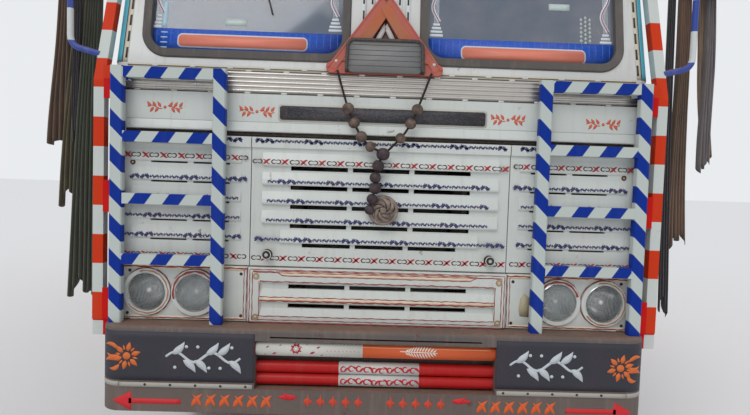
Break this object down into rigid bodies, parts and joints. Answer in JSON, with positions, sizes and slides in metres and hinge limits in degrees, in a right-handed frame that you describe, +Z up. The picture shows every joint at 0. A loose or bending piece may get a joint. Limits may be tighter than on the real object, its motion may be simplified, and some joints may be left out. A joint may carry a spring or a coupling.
{
  "type": "decorated haulage truck",
  "caption": "Forward-control two-axle haulage truck with a hand-decorated cab front, ladder frames, marker poles, a hanging bead garland and an open high-sided cargo body.",
  "frame": {"origin": "on the ground under the middle of the whole truck", "axes": "+Z up, -Y out of the cab's front, +X to the truck's left side, so the length runs along Y"},
  "size_m": [3.22, 8.4069, 3.0599],
  "materials": {
    "chassis_black": "dusty satin",
    "spring_steel": "rusty",
    "axle_iron": "dusty",
    "engine_grey": "dusty",
    "tank_paint": "satin",
    "exhaust_steel": "rusty",
    "tyre_rubber": "matt",
    "wheel_paint": "dusty satin",
    "cab_white": "worn gloss",
    "cab_lining": "matt",
    "window_glass": "clear",
    "seal_rubber": "matt",
    "panel_white": "worn gloss",
    "lamp_glass": "clear",
    "stainless": "worn bright",
    "bumper_paint": "dusty satin",
    "tube_red": "gloss",
    "ladder_blue": "gloss",
    "pole_orange": "gloss",
    "mirror_black": "matt",
    "triangle_red": "gloss",
    "crown_paint": "gloss",
    "seat_cloth": "woven",
    "dash_plastic": "matt",
    "garland_cord": "matt",
    "garland_bead": "matt",
    "body_paint": "worn satin",
    "floor_wood": "worn",
    "flap_rubber": "matt",
    "roll_canvas": "matt"
  },
  "bodies": {
    "truck": {"chassis_frame": "chassis_black", "leaf_springs": "spring_steel", "front_axle": "axle_iron", "rear_axle": "axle_iron", "powertrain": "engine_grey", "propshaft": "chassis_black", "fuel_tank": "tank_paint", "battery_box": "chassis_black", "exhaust": "exhaust_steel", "spare_tyre": "tyre_rubber", "spare_carrier": "wheel_paint", "cab_front": "cab_white", "cab_sides": "cab_white", "cab_back": "cab_white", "cab_roof": "cab_white", "cab_floor": "cab_lining", "windscreens": "window_glass", "windscreen_seals": "seal_rubber", "face_panels": "panel_white", "headlamps": "lamp_glass", "fluted_trim": "stainless", "front_bumper": "bumper_paint", "bumper_tubes": "tube_red", "ladder_frames": "ladder_blue", "marker_poles": "pole_orange", "mirrors": "mirror_black", "warning_triangle": "triangle_red", "roof_crown": "crown_paint", "seats": "seat_cloth", "dashboard": "dash_plastic", "body_bearers": "body_paint", "body_floor": "floor_wood", "body_sides": "body_paint", "headboard": "body_paint", "rear_bar": "chassis_black", "mud_flaps": "flap_rubber", "side_rolls": "roll_canvas"},
    "grille_flap": {"grille_flap": "panel_white"},
    "garland": {"garland_strings": "garland_cord", "garland_beads": "garland_bead"},
    "door_left": {"door_left": "cab_white", "door_glass_left": "window_glass"},
    "door_right": {"door_right": "cab_white", "door_glass_right": "window_glass"},
    "steering_wheel": {"steering_wheel": "dash_plastic"},
    "knuckle_left": {"knuckle_left": "axle_iron"},
    "knuckle_right": {"knuckle_right": "axle_iron"},
    "tie_rod": {"tie_rod": "axle_iron"},
    "front_wheel_left": {"front_tyre_left": "tyre_rubber", "front_wheel_left": "wheel_paint"},
    "front_wheel_right": {"front_tyre_right": "tyre_rubber", "front_wheel_right": "wheel_paint"},
    "rear_wheel_left": {"rear_tyres_left": "tyre_rubber", "rear_wheel_left": "wheel_paint"},
    "rear_wheel_right": {"rear_tyres_right": "tyre_rubber", "rear_wheel_right": "wheel_paint"},
    "tailgate": {"tailgate": "body_paint"}
  },
  "joints": [
    {"name": "door_left_hinge", "type": "hinge", "parent": "truck", "child": "door_left", "pos_m": [1.21, -3.802, 1.6], "axis": [0, 0, -1], "range_deg": [0, 70]},
    {"name": "door_right_hinge", "type": "hinge", "parent": "truck", "child": "door_right", "pos_m": [-1.21, -3.802, 1.6], "axis": [0, 0, 1], "range_deg": [0, 70]},
    {"name": "grille_flap_hinge", "type": "hinge", "parent": "truck", "child": "grille_flap", "pos_m": [0, -4.082, 1.694], "axis": [-1, 0, 0], "range_deg": [0, 75]},
    {"name": "garland_swing", "type": "hinge", "parent": "truck", "child": "garland", "pos_m": [0, -4.1054, 2.001], "axis": [-1, 0, 0], "range_deg": [0, 60]},
    {"name": "tailgate_hinge", "type": "hinge", "parent": "truck", "child": "tailgate", "pos_m": [0, 4.186, 1.2], "axis": [-1, 0, 0], "range_deg": [0, 170]},
    {"name": "steer_left", "type": "hinge", "parent": "truck", "child": "knuckle_left", "pos_m": [0.85, -2.82, 0.515], "axis": [0, 0, 1], "range_deg": [-38, 38]},
    {"name": "steer_right", "type": "hinge", "parent": "truck", "child": "knuckle_right", "pos_m": [-0.85, -2.82, 0.515], "axis": [0, 0, 1], "range_deg": [-38, 38]},
    {"name": "tie_rod_pivot", "type": "hinge", "parent": "knuckle_left", "child": "tie_rod", "pos_m": [0.85, -2.62, 0.404], "axis": [0, 0, 1], "range_deg": [-38, 38]},
    {"name": "steering_wheel_turn", "type": "hinge", "parent": "truck", "child": "steering_wheel", "pos_m": [-0.77, -3.51, 1.94], "axis": [0, 0.5299, 0.848], "range_deg": [-760, 760]},
    {"name": "front_wheel_left_spin", "type": "hinge", "parent": "knuckle_left", "child": "front_wheel_left", "pos_m": [1.04, -2.82, 0.515], "axis": [1, 0, 0], "continuous": true},
    {"name": "front_wheel_right_spin", "type": "hinge", "parent": "knuckle_right", "child": "front_wheel_right", "pos_m": [-1.04, -2.82, 0.515], "axis": [1, 0, 0], "continuous": true},
    {"name": "rear_wheel_left_spin", "type": "hinge", "parent": "truck", "child": "rear_wheel_left", "pos_m": [0.9, 1.93, 0.515], "axis": [1, 0, 0], "continuous": true},
    {"name": "rear_wheel_right_spin", "type": "hinge", "parent": "truck", "child": "rear_wheel_right", "pos_m": [-0.9, 1.93, 0.515], "axis": [1, 0, 0], "continuous": true}
  ],
  "couplings": [
    {"joint": "steer_right", "follows": "steer_left", "ratio": 1},
    {"joint": "tie_rod_pivot", "follows": "steer_left", "ratio": -1},
    {"joint": "steering_wheel_turn", "follows": "steer_left", "ratio": 20},
    {"joint": "garland_swing", "follows": "grille_flap_hinge", "ratio": 0.8}
  ]
}
